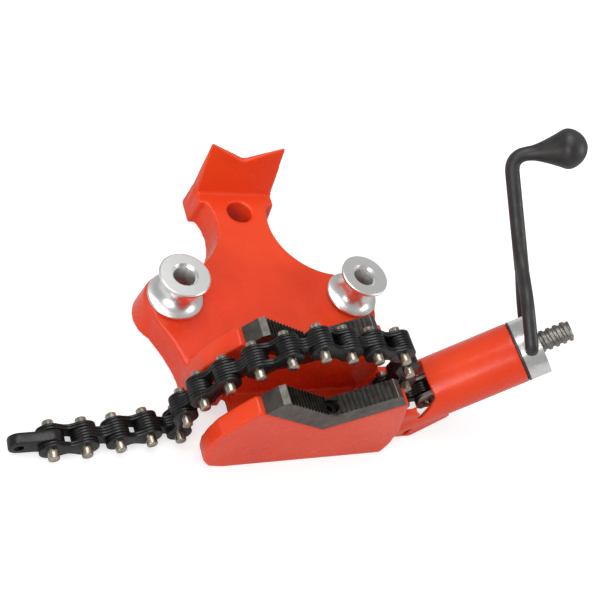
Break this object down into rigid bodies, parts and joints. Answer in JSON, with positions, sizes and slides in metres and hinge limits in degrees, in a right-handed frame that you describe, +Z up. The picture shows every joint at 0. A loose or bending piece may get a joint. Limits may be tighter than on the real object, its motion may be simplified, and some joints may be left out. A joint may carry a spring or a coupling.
{
  "type": "chain pipe vise",
  "caption": "Bench vise that holds pipe in a toothed V under a leaf chain, pulled tight by a screw and crank, with a V pipe rest and two bending spools.",
  "frame": {"origin": "on the bench plane, midway between the two spool bolts", "axes": "+X toward the crank, -Y toward the jaws, +Z up"},
  "size_m": [0.4685, 0.2786, 0.2379],
  "materials": {
    "casting": "glossy orange-red enamel on cast iron",
    "tool_steel": "machined tool steel, dull grey",
    "machined": "turned bright steel",
    "black_oxide": "black oxide, satin",
    "pin_steel": "bright pins with a brown tint",
    "thread_steel": "plain grey steel",
    "crank_black": "satin black forging",
    "washer": "dark oiled steel"
  },
  "bodies": {
    "base": {"base_casting": "casting", "rear_jaw_insert": "tool_steel", "front_jaw_insert": "tool_steel", "insert_screws": "black_oxide", "left_spool": "machined", "right_spool": "machined", "thrust_washer": "washer"},
    "nut": {"crank_nut": "machined"},
    "crank": {"crank_fork": "crank_black", "crank_grip": "crank_black"},
    "screw": {"screw": "thread_steel", "screw_clevis": "thread_steel", "clevis_pin": "pin_steel"},
    "chain_01": {"link_01": "black_oxide"},
    "chain_02": {"link_02_plates": "black_oxide", "link_02_pins": "pin_steel"},
    "chain_03": {"link_03": "black_oxide"},
    "chain_04": {"link_04_plates": "black_oxide", "link_04_pins": "pin_steel"},
    "chain_05": {"link_05": "black_oxide"},
    "chain_06": {"link_06_plates": "black_oxide", "link_06_pins": "pin_steel"},
    "chain_07": {"link_07": "black_oxide"},
    "chain_08": {"link_08_plates": "black_oxide", "link_08_pins": "pin_steel"},
    "chain_09": {"link_09": "black_oxide"},
    "chain_10": {"link_10_plates": "black_oxide", "link_10_pins": "pin_steel"},
    "chain_11": {"link_11": "black_oxide"},
    "chain_12": {"link_12_plates": "black_oxide", "link_12_pins": "pin_steel"},
    "chain_13": {"link_13": "black_oxide"},
    "chain_14": {"link_14_plates": "black_oxide", "link_14_pins": "pin_steel"},
    "chain_15": {"link_15": "black_oxide"},
    "chain_16": {"link_16_plates": "black_oxide", "link_16_pins": "pin_steel"},
    "chain_17": {"link_17": "black_oxide"},
    "chain_18": {"link_18_plates": "black_oxide", "link_18_pins": "pin_steel"},
    "chain_end": {"chain_tongue": "black_oxide"}
  },
  "joints": [
    {"name": "crank_turn", "type": "hinge", "parent": "base", "child": "nut", "pos_m": [0.1932, -0.1072, 0.1038], "axis": [-0.7349, 0, -0.6782], "range_deg": [0, 900]},
    {"name": "crank_swing", "type": "hinge", "parent": "nut", "child": "crank", "pos_m": [0.1932, -0.1072, 0.1038], "axis": [0.5908, 0.4909, -0.6403], "range_deg": [-5, 60]},
    {"name": "screw_slide", "type": "slide", "parent": "base", "child": "screw", "axis": [0.7349, 0, 0.6782], "range_m": [0, 0.016]},
    {"name": "chain_hinge_01", "type": "hinge", "parent": "screw", "child": "chain_01", "pos_m": [0.12, -0.1072, 0.03626], "axis": [0, 1, 0], "range_deg": [0, 6]},
    {"name": "chain_hinge_02", "type": "hinge", "parent": "chain_01", "child": "chain_02", "pos_m": [0.09708, -0.1072, 0.02532], "axis": [0, 1, 0], "range_deg": [0, 6]},
    {"name": "chain_hinge_03", "type": "hinge", "parent": "chain_02", "child": "chain_03", "pos_m": [0.0785, -0.1072, 0.04264], "axis": [0, 1, 0], "range_deg": [0, 8]},
    {"name": "chain_hinge_04", "type": "hinge", "parent": "chain_03", "child": "chain_04", "pos_m": [0.07983, -0.1072, 0.06801], "axis": [0, 1, 0], "range_deg": [0, 8]},
    {"name": "chain_hinge_05", "type": "hinge", "parent": "chain_04", "child": "chain_05", "pos_m": [0.07052, -0.1072, 0.09164], "axis": [0, 1, 0], "range_deg": [0, 10]},
    {"name": "chain_hinge_06", "type": "hinge", "parent": "chain_05", "child": "chain_06", "pos_m": [0.05595, -0.1072, 0.11245], "axis": [0, 1, 0], "range_deg": [0, 10]},
    {"name": "chain_hinge_07", "type": "hinge", "parent": "chain_06", "child": "chain_07", "pos_m": [0.03061, -0.1072, 0.11422], "axis": [0, 1, 0], "range_deg": [0, 10]},
    {"name": "chain_hinge_08", "type": "hinge", "parent": "chain_07", "child": "chain_08", "pos_m": [0.0054, -0.1072, 0.11732], "axis": [-0.0052, 1, 0.0008], "range_deg": [0, 10]},
    {"name": "chain_hinge_09", "type": "hinge", "parent": "chain_08", "child": "chain_09", "pos_m": [-0.01972, -0.10733, 0.12107], "axis": [-0.0052, 1, 0.0008], "range_deg": [0, 10]},
    {"name": "chain_hinge_10", "type": "hinge", "parent": "chain_09", "child": "chain_10", "pos_m": [-0.04354, -0.10751, 0.11226], "axis": [-0.0075, 1, -0.0045], "range_deg": [0, 10]},
    {"name": "chain_hinge_11", "type": "hinge", "parent": "chain_10", "child": "chain_11", "pos_m": [-0.06524, -0.10773, 0.09906], "axis": [-0.0075, 1, -0.0045], "range_deg": [0, 10]},
    {"name": "chain_hinge_12", "type": "hinge", "parent": "chain_11", "child": "chain_12", "pos_m": [-0.08357, -0.10804, 0.08148], "axis": [-0.0075, 0.9999, -0.0117], "range_deg": [0, 10]},
    {"name": "chain_hinge_13", "type": "hinge", "parent": "chain_12", "child": "chain_13", "pos_m": [-0.09729, -0.1084, 0.06011], "axis": [-0.0075, 0.9999, -0.0117], "range_deg": [0, 12]},
    {"name": "chain_hinge_14", "type": "hinge", "parent": "chain_13", "child": "chain_14", "pos_m": [-0.10417, -0.10875, 0.03566], "axis": [0.0008, 1, -0.0087], "range_deg": [0, 12]},
    {"name": "chain_hinge_15", "type": "hinge", "parent": "chain_14", "child": "chain_15", "pos_m": [-0.10195, -0.10897, 0.01036], "axis": [0.0008, 1, -0.0087], "range_deg": [0, 12]},
    {"name": "chain_hinge_16", "type": "hinge", "parent": "chain_15", "child": "chain_16", "pos_m": [-0.12732, -0.1103, 0.01027], "axis": [-0.1132, 0.9936, 0], "range_deg": [0, 20]},
    {"name": "chain_hinge_17", "type": "hinge", "parent": "chain_16", "child": "chain_17", "pos_m": [-0.15255, -0.11318, 0.01027], "axis": [-0.1132, 0.9936, 0], "range_deg": [0, 20]},
    {"name": "chain_hinge_18", "type": "hinge", "parent": "chain_17", "child": "chain_18", "pos_m": [-0.17786, -0.11539, 0.01027], "axis": [-0.0262, 0.9997, 0], "range_deg": [0, 20]},
    {"name": "chain_hinge_19", "type": "hinge", "parent": "chain_18", "child": "chain_end", "pos_m": [-0.20325, -0.11606, 0.01027], "axis": [-0.0262, 0.9997, 0], "range_deg": [0, 30]}
  ],
  "couplings": [
    {"joint": "screw_slide", "follows": "crank_turn", "m_per_rad": 0.0010106}
  ]
}
